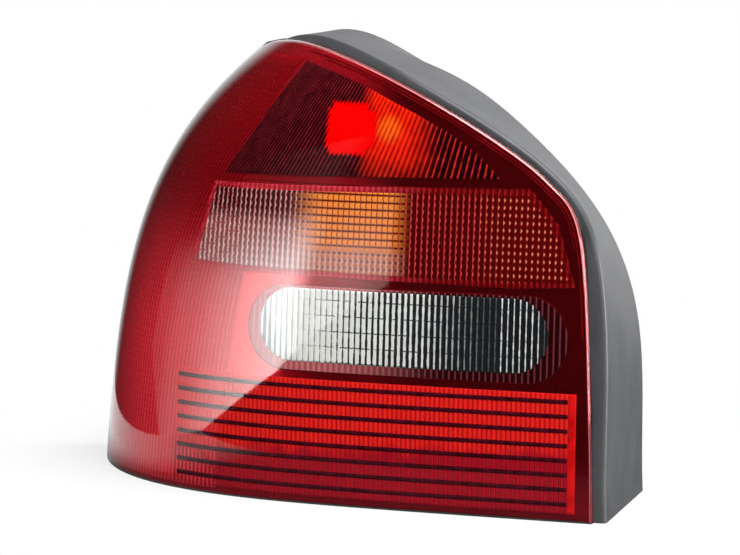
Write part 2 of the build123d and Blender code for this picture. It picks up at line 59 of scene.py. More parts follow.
CORNER_FROM, CORNER_OVER = 0.55, 0.2
FOOT_FROM, FOOT_OVER = -0.02, 0.08


def front(t, z):
    """x and y of the lens front in the drawing, where t runs from the inboard edge round the corner."""
    share = max(z, 0.0) / LENS_HEIGHT
    shift = LOW_DRIFT * share ** 1.2 + HIGH_DRIFT * share ** 4.3
    u = 1 - t
    flat, corner, side = u * u * t * (4 * u + 6 * t), 4 * u * t ** 3, t ** 4
    x = (FRONT_END * u ** 4 + (WRAP_START + shift) * flat
         + (CORNER[0] + shift) * corner + (SIDE[0] + shift) * side)
    return x, TOP_LEAN * share ** 2 + CORNER[1] * corner + SIDE[1] * side


def share_where(goal, axis, z):
    """The t at which the front passes a given x (axis 0, falling) or y (axis 1, rising)."""
    low, high = -0.02, 1.0
    for _ in range(20):
        middle = (low + high) / 2
        if (front(middle, z)[axis] > goal) == (axis == 0):
            low = middle
        else:
            high = middle
    return low


def placed(t, z, inset):
    """A point of the lens in metres, set behind its outer face the way the moulding's layers are."""
    x, y = front(t, z)
    return Vector((x + SIDE_SHARE * inset - FOOT_MIDDLE[0], y + inset - FOOT_MIDDLE[1], z)) * 0.001


def on_window(x, z, inset):
    """A point over a window of the lens, set in behind the front."""
    return placed(share_where(x - SIDE_SHARE * inset, 0, z), z, inset)


def edge_line(margin):
    """The lens outline from the foot over the top, smoothed through its points and drawn in by a margin."""
    points = [Vector(p) for p in LENS_EDGE]
    points = [2 * points[0] - points[1]] + points + [2 * points[-1] - points[-2]]
    line = []
    for a, b, c, d in zip(points, points[1:], points[2:], points[3:]):
        for step in range(16):
            f = step / 16
            line.append(0.5 * (2 * b + (c - a) * f + (2 * a - 5 * b + 4 * c - d) * f ** 2
                               + (3 * b - a - 3 * c + d) * f ** 3))
    line.append(points[-2])
    drawn = []
    for i, p in enumerate(line):
        along = line[min(i + 1, len(line) - 1)] - line[max(i - 1, 0)]
        drawn.append(p + margin * Vector((-along.y, along.x)).normalized())
    return drawn


def at_share(line, share):
    """The point at a share of a polyline's length."""
    lengths = [(b - a).length for a, b in zip(line, line[1:])]
    left = share * sum(lengths)
    for a, b, length in zip(line, line[1:], lengths):
        if left <= length:
            return a.lerp(b, left / length)
        left -= length
    return line[-1]


def lens_sheet(inset, margin):
    """The whole lens front as a grid between its four edges, rounded over at its rim and turned back."""
    inner, deepest = margin + EDGE_ROUND, SIDE_END - margin - inset
    line = edge_line(inner)
    turn = min(range(len(line)), key=lambda i: abs(line[i].y - BEND_HEIGHT))
    foot_up, over_top = [p for p in line[:turn + 1] if p.y > inner], line[turn:]
    foot_up.insert(0, Vector((foot_up[0].x, inner)))

    def side_at(z):
        return Vector((share_where(deepest, 1, z), z))

    def on_front(p):
        return Vector((share_where(p.x - SIDE_SHARE * inset, 0, p.y), p.y))

    def out_of_line(p):
        i = min(range(1, len(line) - 1), key=lambda k: (line[k] - p).length)
        along = line[i + 1] - line[i - 1]
        return Vector((along.y, -along.x)).normalized()

    over_top = [p for p in over_top if front(share_where(p.x, 0, p.y), p.y)[1] < deepest - 1]
    top_end = side_at(over_top[-1].y - 1.2)
    over_top = [on_front(p) for p in over_top] + [top_end]
    right = [on_front(at_share(foot_up, j / SKIN_ROWS)) for j in range(SKIN_ROWS + 1)]
    left = [side_at(inner + (top_end.y - inner) * j / SKIN_ROWS) for j in range(SKIN_ROWS + 1)]
    low = [right[0].lerp(left[0], i / SKIN_COLUMNS) for i in range(SKIN_COLUMNS + 1)]
    scaled = [Vector((p.x * AROUND, p.y)) for p in over_top]
    top = [at_share(scaled, i / SKIN_COLUMNS) for i in range(SKIN_COLUMNS + 1)]
    top = [Vector((p.x / AROUND, p.y)) for p in top]
    bm = bmesh.new()
    bmesh.ops.create_grid(bm, x_segments=SKIN_COLUMNS, y_segments=SKIN_ROWS, size=0.5)
    layers = bm.verts.layers.float
    share, level, out_x, out_z, edge = [layers.new(n) for n in ("share", "level", "out_x", "out_z", "edge")]
    sides = set()
    for vert in bm.verts:
        u, v = 0.5 - vert.co.x, vert.co.y + 0.5
        i, j = round(u * SKIN_COLUMNS), round(v * SKIN_ROWS)
        p = (right[j] * (1 - u) + left[j] * u + low[i] * (1 - v) + top[i] * v - right[0] * ((1 - u) * (1 - v))
             - left[0] * (u * (1 - v)) - right[-1] * ((1 - u) * v) - left[-1] * (u * v))
        vert.co = placed(p.x, p.y, inset)
        vert[share], vert[level] = p
        if i == SKIN_COLUMNS:
            sides.add(vert)
        if i == 0 or j == SKIN_ROWS:
            vert[out_x], vert[out_z] = out_of_line(Vector((vert.co.x * 1000 + FOOT_MIDDLE[0], p.y)))
        if j == 0:
            vert[out_z] = -1
    rim = [e for e in bm.edges if e.is_boundary and not (e.verts[0] in sides and e.verts[1] in sides)]
    rim_end = (SIDE_END - FOOT_MIDDLE[1] - margin) * 0.001
    for step in range(1, ROUND_STEPS + 2):
        turned = math.radians(90 * min(step / ROUND_STEPS, 1))
        reach, back = EDGE_ROUND * math.sin(turned), EDGE_ROUND * (1 - math.cos(turned))
        if step > ROUND_STEPS:
            back = RIM_DEPTH - inset
        made = bmesh.ops.extrude_edge_only(bm, edges=rim)["geom"]
        rim = [g for g in made if isinstance(g, bmesh.types.BMEdge)]
        for vert in (g for g in made if isinstance(g, bmesh.types.BMVert)):
            z = vert[level] + vert[out_z] * reach
            if vert[out_x]:
                x = front(vert[share], vert[level])[0] + SIDE_SHARE * inset + vert[out_x] * reach
                around = min(1.0, max(0.0, (vert[share] - CORNER_FROM) / CORNER_OVER))
                vert.co = on_window(x, z, inset + back).lerp(placed(vert[share], z, inset + back), around)
                vert[edge] = 2 < step < ROUND_STEPS
            else:
                vert.co = placed(vert[share], z, inset)
                wrap = min(1.0, max(0.0, (FOOT_FROM - vert.co.x) / FOOT_OVER))
                vert.co += Vector((SIDE_SHARE * wrap, 1, 0)) * (back * 0.001)
            vert.co.y = min(vert.co.y, rim_end)
    for layer in ("share", "level", "out_x", "out_z"):
        layers.remove(layers[layer])
    bmesh.ops.recalc_face_normals(bm, faces=bm.faces[:])
    front_face = min(bm.faces, key=lambda f: f.calc_center_median().y)
    if front_face.normal.y > 0:
        bmesh.ops.reverse_faces(bm, faces=bm.faces[:])
    return bm


def linear(code):
    """An sRGB hex colour as the linear colour that a shader reads."""
    parts = [int(code[i:i + 2], 16) / 255 for i in (1, 3, 5)]
    return [c / 12.92 if c <= 0.04045 else ((c + 0.055) / 1.055) ** 2.4 for c in parts] + [1.0]


def add(tree, kind, links, stops=(), **settings):
    """One node with its settings; links fills its inputs, from another node's output or with a value."""
    made = tree.nodes.new("ShaderNode" + kind)
    for name, value in settings.items():
        setattr(made, name, value)
    for i, (position, code) in enumerate(stops):
        ramp = made.color_ramp.elements
        stop = ramp[i] if i < len(ramp) else ramp.new(position)
        stop.position, stop.color = position, linear(code)
    for name, value in links.items():
        if isinstance(value, bpy.types.NodeSocket):
            tree.links.new(value, made.inputs[name])
        else:
            made.inputs[name].default_value = value
    return made


def new_finish(name, **sockets):
    """A material with its shader's own sockets set, and its node tree."""
    material = bpy.data.materials.new(name)
    material.use_nodes = True
    shader = material.node_tree.nodes["Principled BSDF"]
    for socket, value in sockets.items():
        shader.inputs[socket.replace("_", " ")].default_value = value
    return material, material.node_tree, shader


def finished(bm, name, material, slot, *stands_for, wall=0.0, sharp=32):
    """The mesh as a piece of the lamp, fixed to it, with its wall and its finish."""
    mesh = bpy.data.meshes.new(name)
    bm.to_mesh(mesh)
    bm.free()
    mesh.shade_smooth()
    mesh.set_sharp_from_angle(angle=math.radians(sharp))
    piece = bpy.data.objects.new(name, mesh)
    bpy.context.scene.collection.objects.link(piece)
    mesh.materials.append(material)
    if wall:
        solid = piece.modifiers.new("wall", "SOLIDIFY")
        solid.thickness, solid.offset = wall * 0.001, -1
    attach(piece, "root")
    if stands_for:
        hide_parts(*stands_for)
    return piece


# Clear polished acrylic: sharp reflections with the faint swell of a moulded sheet.
acrylic, tree, shader = new_finish("polished_acrylic", Transmission_Weight=1.0, IOR=1.36, Roughness=0.02)
place = add(tree, "TexCoord", {}).outputs["Object"]
haze = add(tree, "TexNoise", {"Vector": place, "Scale": 1 / 0.018, "Detail": 3.0})
tree.links.new(add(tree, "MapRange", {"Value": haze.outputs[0], "To Min": 0.012, "To Max": 0.045}).outputs[0],
               shader.inputs["Roughness"])
swell = add(tree, "TexNoise", {"Vector": place, "Scale": 1 / 0.06, "Detail": 0.0})
tree.links.new(add(tree, "Bump", {"Height": swell.outputs[0], "Strength": 0.1, "Distance": 0.001}).outputs[0],
               shader.inputs["Normal"])
skin = finished(lens_sheet(0, 0), "outer_lens_skin", acrylic, "red_lens", "outer_lens", wall=SKIN_WALL)
skin.visible_shadow = False

# Red body of the outer lens.
# Deep red acrylic behind the polished skin: the plain borders between the lamps and the turned-back rim.
BODY_INSET, BODY_MARGIN, BODY_WALL = 1.5, 0.75, 1.0
# Dark red resin, darkened by painted shade to almost black in the inboard border and towards the top, a
# warmer red towards the car's corner, above the turn lamp and at the foot, and a painted pale highlight along
# its rounded edge.
red_acrylic, tree, shader = new_finish("dark_red_acrylic", Roughness=0.07, IOR=1.6, Specular_IOR_Level=1.0,
                                       Specular_Tint=linear("#ff2830"))
place = add(tree, "TexCoord", {}).outputs["Object"]
cloud = add(tree, "TexNoise", {"Vector": place, "Scale": 1 / 0.05, "Detail": 2.0}).outputs[0]
axes = add(tree, "SeparateXYZ", {0: place})
# Painted shade: the red darkens inboard and towards the top.
inboard = add(tree, "MapRange", {"Value": axes.outputs["X"], "From Min": -0.12, "From Max": 0.17,
                                 "To Max": 0.85}).outputs[0]
painted_shade_depth = add(tree, "Math", {0: cloud, 1: 0.2, 2: inboard}, operation="MULTIPLY_ADD").outputs[0]
high = add(tree, "MapRange", {"Value": axes.outputs["Z"], "From Min": 0.15, "From Max": 0.21, "To Max": 0.2},
           interpolation_type="SMOOTHSTEP").outputs[0]
painted_shade_depth = add(tree, "Math", {0: painted_shade_depth, 1: high}).outputs[0]
shade = add(tree, "ValToRGB", {"Fac": painted_shade_depth}, stops=[(0.2, "#d82434"), (0.36, "#a80e1c"), (0.47, "#74050e"),
                                                     (0.58, "#480206"), (0.9, "#400003")]).outputs[0]
upper = add(tree, "MapRange", {"Value": axes.outputs["Z"], "From Min": 0.186, "From Max": 0.19}).outputs[0]
outboard = add(tree, "MapRange", {"Value": axes.outputs["X"], "From Min": 0.06, "From Max": 0.015},
               interpolation_type="SMOOTHSTEP").outputs[0]
upper = add(tree, "Math", {0: upper, 1: outboard}, operation="MULTIPLY").outputs[0]
shade = add(tree, "Mix", {0: upper, 6: shade, 7: linear("#8c0c16")}, data_type="RGBA").outputs[2]
foot = add(tree, "MapRange", {"Value": axes.outputs["Z"], "From Min": 0.05, "From Max": 0.0, "To Max": 0.8},
           interpolation_type="SMOOTHSTEP").outputs[0]
shade = add(tree, "Mix", {0: foot, 6: shade, 7: linear("#84101e")}, data_type="RGBA").outputs[2]
# Painted highlight: a pale rose line on the rounded edge, on the inboard side and brighter higher up.
painted_edge_highlight = add(tree, "MapRange", {"Value": axes.outputs["X"], "From Min": -0.05, "From Max": 0.02}).outputs[0]
edge = add(tree, "Attribute", {}, attribute_name="edge").outputs["Fac"]
painted_edge_highlight = add(tree, "Math", {0: painted_edge_highlight, 1: edge}, operation="MULTIPLY").outputs[0]
rise = add(tree, "MapRange", {"Value": axes.outputs["Z"], "From Min": 0.02, "From Max": 0.2}).outputs[0]
rose = add(tree, "ValToRGB", {"Fac": rise}, stops=[(0.0, "#a84450"), (1.0, "#d87c7c")]).outputs[0]
shade = add(tree, "Mix", {0: painted_edge_highlight, 6: shade, 7: rose}, data_type="RGBA").outputs[2]
tree.links.new(shade, shader.inputs["Base Color"])
finished(lens_sheet(BODY_INSET, BODY_MARGIN), "outer_lens_body", red_acrylic, "red_lens", "outer_lens",
         wall=BODY_WALL)

# Fine fluting round the corner.
# The wrap of the lens is moulded with close upright flutes and faint cross lines that hide the inside.
PANEL_INSET = 1.35
PANEL_WALL = 0.5
WRAP_PITCH, WRAP_ROW, WRAP_SAG = 3.4, 3.6, 0.28
WRAP_LENGTHS = (225.0, 500.0)
WRAP_FOOT, WRAP_HEIGHT, WRAP_BORDER = 4.0, 266.0, 7.0
steps = [front(i / 400, 0) for i in range(401)]
walked = [0.0]
for a, b in zip(steps, steps[1:]):
    walked.append(walked[-1] + math.dist(a, b))


def share_walked(length):
    """The t that lies a given length round the foot of the lens."""
    i = next((k for k, w in enumerate(walked) if w >= length), 400)
    gap = walked[i] - walked[i - 1]
    return (i - 1 + (length - walked[i - 1]) / gap) / 400


def length_at(t):
    """The length round the foot of the lens up to t."""
    i = min(int(t * 400), 399)
    return walked[i] + (walked[i + 1] - walked[i]) * (t * 400 - i)


def flute(count):
    """The rounded height of a flute across its pitch, 0 in the grooves and 1 on the crown."""
    return 1 - (2 * (count % 1.0) - 1) ** 2


def fluted(columns, rows, fine, place_at, cuts, relief, lay=on_window, inset=PANEL_INSET):
    """A fluted panel: a grid over its cells, trimmed straight along each cut and laid into the lens."""
    bm = bmesh.new()
    across = bm.verts.layers.float.new("across")
    along = bm.verts.layers.float.new("along")
    bmesh.ops.create_grid(bm, x_segments=round(columns * fine[0]), y_segments=round(rows * fine[1]), size=0.5)
    for vert in bm.verts:
        vert[across], vert[along] = (vert.co.x + 0.5) * columns, (vert.co.y + 0.5) * rows
        x, z = place_at(vert[across], vert[along])
        vert.co = (x, 0, z)
    for (x0, z0), (x1, z1) in cuts:
        bmesh.ops.bisect_plane(bm, geom=bm.verts[:] + bm.edges[:] + bm.faces[:], dist=0.0001,
                               plane_co=(x0, 0, z0), plane_no=(z1 - z0, 0, x0 - x1), clear_outer=True)
    for vert in bm.verts:
        vert.co = lay(vert.co.x, vert.co.z, inset - relief(vert[across], vert[along]))
    return bm


wrap_columns = round((WRAP_LENGTHS[1] - WRAP_LENGTHS[0]) / WRAP_PITCH)
wrap_rows = WRAP_HEIGHT / WRAP_ROW
wrap_top = [Vector((-length_at(share_where(p.x, 0, p.y)), p.y)) for p in edge_line(WRAP_BORDER)[96::8]]
wrap_side = [Vector((-length_at(share_where(SIDE_END - WRAP_BORDER, 1, z)), z)) for z in (262, 180, 90, 0)]
wrap_inboard = [(-261, WRAP_FOOT), (-261, 139), (-length_at(share_where(-203, 0, 268)), 268)]
wrap_cuts = list(zip(wrap_inboard, wrap_inboard[1:]))
wrap_cuts += list(zip(wrap_top, wrap_top[1:])) + list(zip(wrap_side, wrap_side[1:]))
wrap = fluted(wrap_columns, wrap_rows, (5, 0.6),
              lambda a, b: (-WRAP_LENGTHS[1] + a * WRAP_PITCH, WRAP_FOOT + b * WRAP_ROW), wrap_cuts,
              lambda a, b: WRAP_SAG * flute(a), lambda x, z, inset: placed(share_walked(-x), z, inset))


def cells(tree, layer):
    """The count of a panel's cells in one direction, and the height from groove to crown within each."""
    count = add(tree, "Attribute", {}, attribute_name=layer).outputs["Fac"]
    return count, add(tree, "Math", {0: count, 1: 0.5}, operation="PINGPONG").outputs[0]


# Cherry red between darker grooves and darker round the corner, painted light lower down and painted shade
# towards the top.
red_flutes, tree, shader = new_finish("fluted_red_acrylic", Roughness=0.4, Specular_IOR_Level=0.0)
height, cross = cells(tree, "across")[1], cells(tree, "along")[1]
lines = add(tree, "Math", {0: cross, 1: 0.2, 2: height}, operation="MULTIPLY_ADD").outputs[0]
round_side = add(tree, "ValToRGB", {"Fac": lines}, stops=[(0.05, "#a80c1a"), (0.5, "#e82c3c")]).outputs[0]
low = add(tree, "ValToRGB", {"Fac": lines}, stops=[(0.05, "#e41626"), (0.5, "#ff4654")]).outputs[0]
high = add(tree, "ValToRGB", {"Fac": lines}, stops=[(0.05, "#580006"), (0.5, "#900610")]).outputs[0]
place = add(tree, "SeparateXYZ", {0: add(tree, "TexCoord", {}).outputs["Object"]})
side = add(tree, "MapRange", {"Value": place.outputs["X"], "From Min": -0.165, "From Max": -0.11},
           interpolation_type="SMOOTHSTEP").outputs[0]
low = add(tree, "Mix", {0: side, 6: round_side, 7: low}, data_type="RGBA").outputs[2]
# Painted shade: the flutes dim towards the top.
up = add(tree, "MapRange", {"Value": place.outputs["Z"], "From Min": 0.09, "From Max": 0.2},
         interpolation_type="SMOOTHSTEP").outputs[0]
shade = add(tree, "Mix", {0: up, 6: low, 7: high}, data_type="RGBA")
tree.links.new(shade.outputs[2], shader.inputs["Base Color"])
finished(wrap, "wrap_flutes", red_flutes, "red_lens", "outer_lens", wall=PANEL_WALL)

# Moulded lines in the border.
# Low ridges on the inside of the lens, one along its edge and one between the stop and turn lamps.
RIDGE_WIDTH, RIDGE_RISE, RIDGE_WALL, RIDGE_SEGMENTS = 0.8, 0.2, 0.4, 160
EDGE_RIDGES = ((3.6, 26, 128), (5.2, 40, 122))
LEVEL_RIDGE = ((-248, 195.4), (-72, 195.4))
ridge_lines = [{side: edge_line(margin + side * RIDGE_WIDTH / 2)[first:last] for side in (-1, 0, 1)}
               for margin, first, last in EDGE_RIDGES]
ridge_lines.append({side: [Vector((x, z + side * RIDGE_WIDTH / 2)) for x, z in LEVEL_RIDGE]
                    for side in (-1, 0, 1)})
ridges = bmesh.new()
for lines in ridge_lines:
    made = bmesh.ops.create_grid(ridges, x_segments=RIDGE_SEGMENTS, y_segments=2, size=0.5)["verts"]
    for vert in made:
        side = round(vert.co.y * 2)
        p = at_share(lines[side], vert.co.x + 0.5)
        vert.co = on_window(p.x, p.y, PANEL_INSET - RIDGE_RISE * (side == 0))


def clouded(name, size, detail, stops, **sockets):
    """A finish that drifts between two tones in clouds of one size in millimetres."""
    material, tree, shader = new_finish(name, **sockets)
    place = add(tree, "TexCoord", {}).outputs["Object"]
    cloud = add(tree, "TexNoise", {"Vector": place, "Scale": 1000 / size, "Detail": detail}).outputs[0]
    shade = add(tree, "ValToRGB", {"Fac": cloud}, stops=stops).outputs[0]
    tree.links.new(shade, shader.inputs["Base Color"])
    return material


# The same resin in a lighter red than the border round it.
ridge_red = clouded("thin_red_acrylic", 20, 2.0, [(0.3, "#5e0408"), (0.7, "#7c0a10")], Roughness=0.4,
                    Specular_IOR_Level=0.0)
finished(ridges, "border_lines", ridge_red, "red_lens", "outer_lens", wall=RIDGE_WALL)

# Stop lamp optics.
# A triangle of slanting flutes that fan from the outboard edge and widen inboard, in the same red acrylic.
STOP_CORNERS = [(-247, 198.6), (-60.5, 202.4), (-63, 205.3), (-75.5, 216.7), (-92.8, 228), (-115.3, 239),
                (-148.4, 253.6), (-171, 261), (-199, 267.6)]
STOP_FLUTES, STOP_PITCH, STOP_GROWTH, STOP_SAG = 62, 1.9, 0.041, 0.32
STOP_START, STOP_RUN, STOP_HEIGHT = (-252, 198), 190, 72
STOP_LEAN, STOP_RIGHTING = 0.75, 0.6
# Centres and half sizes of the painted red patch of reflected light.
STOP_PAINTED_PATCHES = (((0.0225, 0, 0.229), (0.0165, 1, 0.0115)), ((0.021, 0, 0.229), (0.0125, 1, 0.0155)))


def stop_place(a, b):
    """Foot of a flute and its slant, upright inboard and leaning at the outboard edge."""
    foot = STOP_START[0] + a * STOP_PITCH + 0.5 * STOP_GROWTH * a * a
    slant = STOP_LEAN - STOP_RIGHTING * (foot - STOP_START[0]) / STOP_RUN
    return foot + slant * (b - 1), STOP_START[1] + b


stop_cuts = list(zip(STOP_CORNERS, STOP_CORNERS[1:] + STOP_CORNERS[:1]))
stop = fluted(STOP_FLUTES, STOP_HEIGHT, (6, 0.5), stop_place, stop_cuts, lambda a, b: STOP_SAG * flute(a),
              inset=PANEL_INSET - 0.3)
# Dark maroon with thin lighter crests; the bowl's flat facet behind is painted on as one clear red patch of
# reflected light, and the flutes beside it carry a painted glow, orange at its centre and broken into slits
# further inboard.
stop_red, tree, shader = new_finish("stop_red_acrylic", Roughness=0.4, Specular_IOR_Level=0.0)
height = cells(tree, "across")[1]
place = add(tree, "TexCoord", {}).outputs["Object"]
axes = add(tree, "SeparateXYZ", {0: place})
cloud = add(tree, "TexNoise", {"Vector": place, "Scale": 1 / 0.005, "Detail": 1.0}).outputs[0]
uneven = add(tree, "Math", {0: cloud, 1: 0.3, 2: -0.15}, operation="MULTIPLY_ADD").outputs[0]
height = add(tree, "Math", {0: height, 1: uneven}).outputs[0]
dark = add(tree, "ValToRGB", {"Fac": height}, stops=[(0.2, "#2c0006"), (0.36, "#4a040c"), (0.48, "#84242a")])
painted_lit = add(tree, "ValToRGB", {"Fac": height}, stops=[(0.0, "#7a0000"), (0.14, "#dc1404"), (0.4, "#ff2a0a")])
painted_glint_orange = add(tree, "ValToRGB", {"Fac": height}, stops=[(0.0, "#b82400"), (0.2, "#ff520c"), (0.4, "#ff741c")])
painted_slits = add(tree, "ValToRGB", {"Fac": height}, stops=[(0.32, "#240005"), (0.4, "#7c0c10"), (0.48, "#d8301e")])
# Painted glow: lit flutes inboard of the patch, dimmer at the foot, breaking into painted bright slits
# further inboard.
glow = add(tree, "MapRange", {"Value": axes.outputs["X"], "From Min": 0.082, "From Max": 0.056},
           interpolation_type="SMOOTHSTEP").outputs[0]
raised = add(tree, "MapRange", {"Value": axes.outputs["Z"], "From Min": 0.202, "From Max": 0.216,
                                "To Min": 0.3}, interpolation_type="SMOOTHSTEP").outputs[0]
glow = add(tree, "Math", {0: glow, 1: raised}, operation="MULTIPLY").outputs[0]
painted_light_start = add(tree, "MapRange", {"Value": axes.outputs["X"], "From Min": 0.028, "From Max": 0.038}).outputs[0]
inboard = add(tree, "Mix", {0: glow, 6: painted_slits.outputs[0], 7: painted_lit.outputs[0]}, data_type="RGBA").outputs[2]
shade = add(tree, "Mix", {0: painted_light_start, 6: dark.outputs[0], 7: inboard}, data_type="RGBA").outputs[2]
# Painted orange glint at the centre of the glow.
painted_glint = add(tree, "VectorMath", {0: place, 1: (0.048, -0.066, 0.23)}, operation="DISTANCE").outputs["Value"]
painted_glint = add(tree, "MapRange", {"Value": painted_glint, "From Min": 0.011, "From Max": 0.003},
            interpolation_type="SMOOTHSTEP").outputs[0]
shade = add(tree, "Mix", {0: painted_glint, 6: shade, 7: painted_glint_orange.outputs[0]}, data_type="RGBA").outputs[2]
# Painted reflection of the bowl's flat facet: one clear red patch, edged by the flutes.
for middle, reach in STOP_PAINTED_PATCHES:
    offset = add(tree, "VectorMath", {0: place, 1: middle}, operation="SUBTRACT").outputs[0]
    offset = add(tree, "VectorMath", {0: offset, 1: reach}, operation="DIVIDE").outputs[0]
    offset = add(tree, "VectorMath", {0: offset}, operation="ABSOLUTE").outputs[0]
    offset = add(tree, "SeparateXYZ", {0: offset})
    far = add(tree, "Math", {0: offset.outputs["X"], 1: offset.outputs["Z"]}, operation="MAXIMUM").outputs[0]
    combed = add(tree, "Math", {0: height, 1: -0.3, 2: far}, operation="MULTIPLY_ADD").outputs[0]
    inside = add(tree, "MapRange", {"Value": combed, "From Min": 0.98, "From Max": 0.86}).outputs[0]
    shade = add(tree, "Mix", {0: inside, 6: shade, 7: linear("#ff0000")}, data_type="RGBA").outputs[2]
tree.links.new(shade, shader.inputs["Base Color"])
finished(stop, "stop_flutes", stop_red, "red_lens", "outer_lens", wall=PANEL_WALL)

# Turn lamp optics.
# A smoked amber insert moulded in rows of small pillows and welded into the lens.
TURN_CORNERS = [(-264, 144), (-47, 141.3), (-16, 143), (-25.7, 174.2), (-42.5, 193.6), (-253, 189)]
TURN_BORDER = 3.4
TURN_PITCH, TURN_ROW, TURN_SAG = 3.65, 4.45, 0.36
TURN_START, TURN_CELLS = (-272, 136.5), (72, 14)


def grown(corners, border):
    """Each edge of a convex outline, moved outwards."""
    edges = []
    for a, b in zip(corners, corners[1:] + corners[:1]):
        a, b = Vector(a), Vector(b)
        out = Vector((b.y - a.y, a.x - b.x)).normalized() * border
        edges.append((a + out, b + out))
    return edges


def turn_panel(border, inset):
    """The turn lamp's pillows, out to a border round its window."""
    return fluted(*TURN_CELLS, (6, 5),
                  lambda a, b: (TURN_START[0] + a * TURN_PITCH, TURN_START[1] + b * TURN_ROW),
                  grown(TURN_CORNERS, border), lambda a, b: TURN_SAG * (flute(a) + flute(b)) / 2, inset=inset)


# Smoky rose with dark cells outboard and top rows darker in painted shade, a painted orange glow over the
# bulb, and inboard dark red in painted shade with thin bright columns.
smoked_amber, tree, shader = new_finish("smoked_amber_acrylic", Roughness=0.4, Specular_IOR_Level=0.0)
count, cross = cells(tree, "across")[0], cells(tree, "along")[1]
sheared = add(tree, "Math", {0: cross, 1: 0.3, 2: count}, operation="MULTIPLY_ADD").outputs[0]
height = add(tree, "Math", {0: sheared, 1: 0.5}, operation="PINGPONG").outputs[0]
axes = add(tree, "SeparateXYZ", {0: add(tree, "TexCoord", {}).outputs["Object"]})
cell = add(tree, "Math", {0: cross, 1: 0.2, 2: height}, operation="MULTIPLY_ADD").outputs[0]
rose = add(tree, "ValToRGB", {"Fac": cell}, stops=[(0.08, "#ffd0c8"), (0.2, "#d08c88"), (0.36, "#8a4a4a")])
smoke = add(tree, "ValToRGB", {"Fac": cell}, stops=[(0.07, "#f0b0ac"), (0.17, "#984e4e"), (0.3, "#400a0c")])
wide = add(tree, "Math", {0: height, 1: 1.7}, operation="MULTIPLY").outputs[0]
pillow = add(tree, "Math", {0: wide, 1: cross}, operation="MINIMUM").outputs[0]
painted_bulb_glow = add(tree, "ValToRGB", {"Fac": pillow}, stops=[(0.06, "#581008"), (0.13, "#cc5c24"),
                                                      (0.22, "#ff963e")])
deep = add(tree, "ValToRGB", {"Fac": cell}, stops=[(0.06, "#dc5448"), (0.15, "#a01418"), (0.24, "#4c0004")])
speck = add(tree, "Math", {0: cross, 1: 0.55, 2: height}, operation="MULTIPLY_ADD").outputs[0]
dot = add(tree, "ValToRGB", {"Fac": speck}, stops=[(0.1, "#f4a474"), (0.17, "#b42818"), (0.27, "#5c0206")])
# Painted shade: the top rows darker.
up = add(tree, "MapRange", {"Value": axes.outputs["Z"], "From Min": 0.166, "From Max": 0.18},
         interpolation_type="SMOOTHSTEP").outputs[0]
shade = add(tree, "Mix", {0: up, 6: rose.outputs[0], 7: smoke.outputs[0]}, data_type="RGBA").outputs[2]
# Painted glow: orange pillows over the bulb.
over = add(tree, "MapRange", {"Value": axes.outputs["X"], "From Min": -0.018, "From Max": 0.008},
           interpolation_type="SMOOTHSTEP").outputs[0]
upper = add(tree, "MapRange", {"Value": axes.outputs["Z"], "From Min": 0.15, "From Max": 0.162,
                               "To Min": 0.35}, interpolation_type="SMOOTHSTEP").outputs[0]
over = add(tree, "Math", {0: over, 1: upper}, operation="MULTIPLY").outputs[0]
shade = add(tree, "Mix", {0: over, 6: shade, 7: painted_bulb_glow.outputs[0]}, data_type="RGBA").outputs[2]
# Painted shade: dark red inboard.
past = add(tree, "MapRange", {"Value": axes.outputs["X"], "From Min": 0.05, "From Max": 0.066},
           interpolation_type="SMOOTHSTEP").outputs[0]
shade = add(tree, "Mix", {0: past, 6: shade, 7: deep.outputs[0]}, data_type="RGBA").outputs[2]
end = add(tree, "MapRange", {"Value": axes.outputs["X"], "From Min": 0.1, "From Max": 0.13},
          interpolation_type="SMOOTHSTEP").outputs[0]
shade = add(tree, "Mix", {0: end, 6: shade, 7: dot.outputs[0]}, data_type="RGBA").outputs[2]
tree.links.new(shade, shader.inputs["Base Color"])
finished(turn_panel(0, PANEL_INSET - 0.12), "turn_pillows", smoked_amber, "amber_lens", "turn_lens",
         wall=PANEL_WALL)

# Border of the turn lamp.
# The insert's pillows run on for one row behind the red lens, so its window has a red beaded frame.
beaded_red, tree, shader = new_finish("beaded_red_acrylic", Roughness=0.4, Specular_IOR_Level=0.0)
height, cross = cells(tree, "across")[1], cells(tree, "along")[1]
cell = add(tree, "Math", {0: cross, 1: 0.4, 2: height}, operation="MULTIPLY_ADD").outputs[0]
axes = add(tree, "SeparateXYZ", {0: add(tree, "TexCoord", {}).outputs["Object"]})
left = add(tree, "ValToRGB", {"Fac": cell}, stops=[(0.15, "#e04452"), (0.5, "#b01e2c")])
right = add(tree, "ValToRGB", {"Fac": cell}, stops=[(0.12, "#9c1418"), (0.4, "#5a0306")])
# Painted light and shade: a paler red outboard, dark inboard.
inboard = add(tree, "MapRange", {"Value": axes.outputs["X"], "From Min": 0.02, "From Max": 0.08}).outputs[0]
shade = add(tree, "Mix", {0: inboard, 6: left.outputs[0], 7: right.outputs[0]}, data_type="RGBA").outputs[2]
tree.links.new(shade, shader.inputs["Base Color"])
finished(turn_panel(TURN_BORDER, PANEL_INSET), "turn_border", beaded_red, "red_lens", "outer_lens",
         wall=PANEL_WALL)

# Reversing lamp optics.
# A clear insert with rounded ends, moulded in upright flutes broken into rows, in front of a silvered bowl.
REVERSE_WINDOW = (-221.0, -15.0, 82.0, 133.6)
REVERSE_CLEAR = (-213.0, -27.0, 87.5, 132.0)
REVERSE_PITCH, REVERSE_ROW, REVERSE_SAG, REVERSE_BORDER_SAG = 3.8, 9.4, 0.42, 0.2
REVERSE_START, REVERSE_CELLS = (-225, 79), (57, 6)
ROUND_CUTS = 11


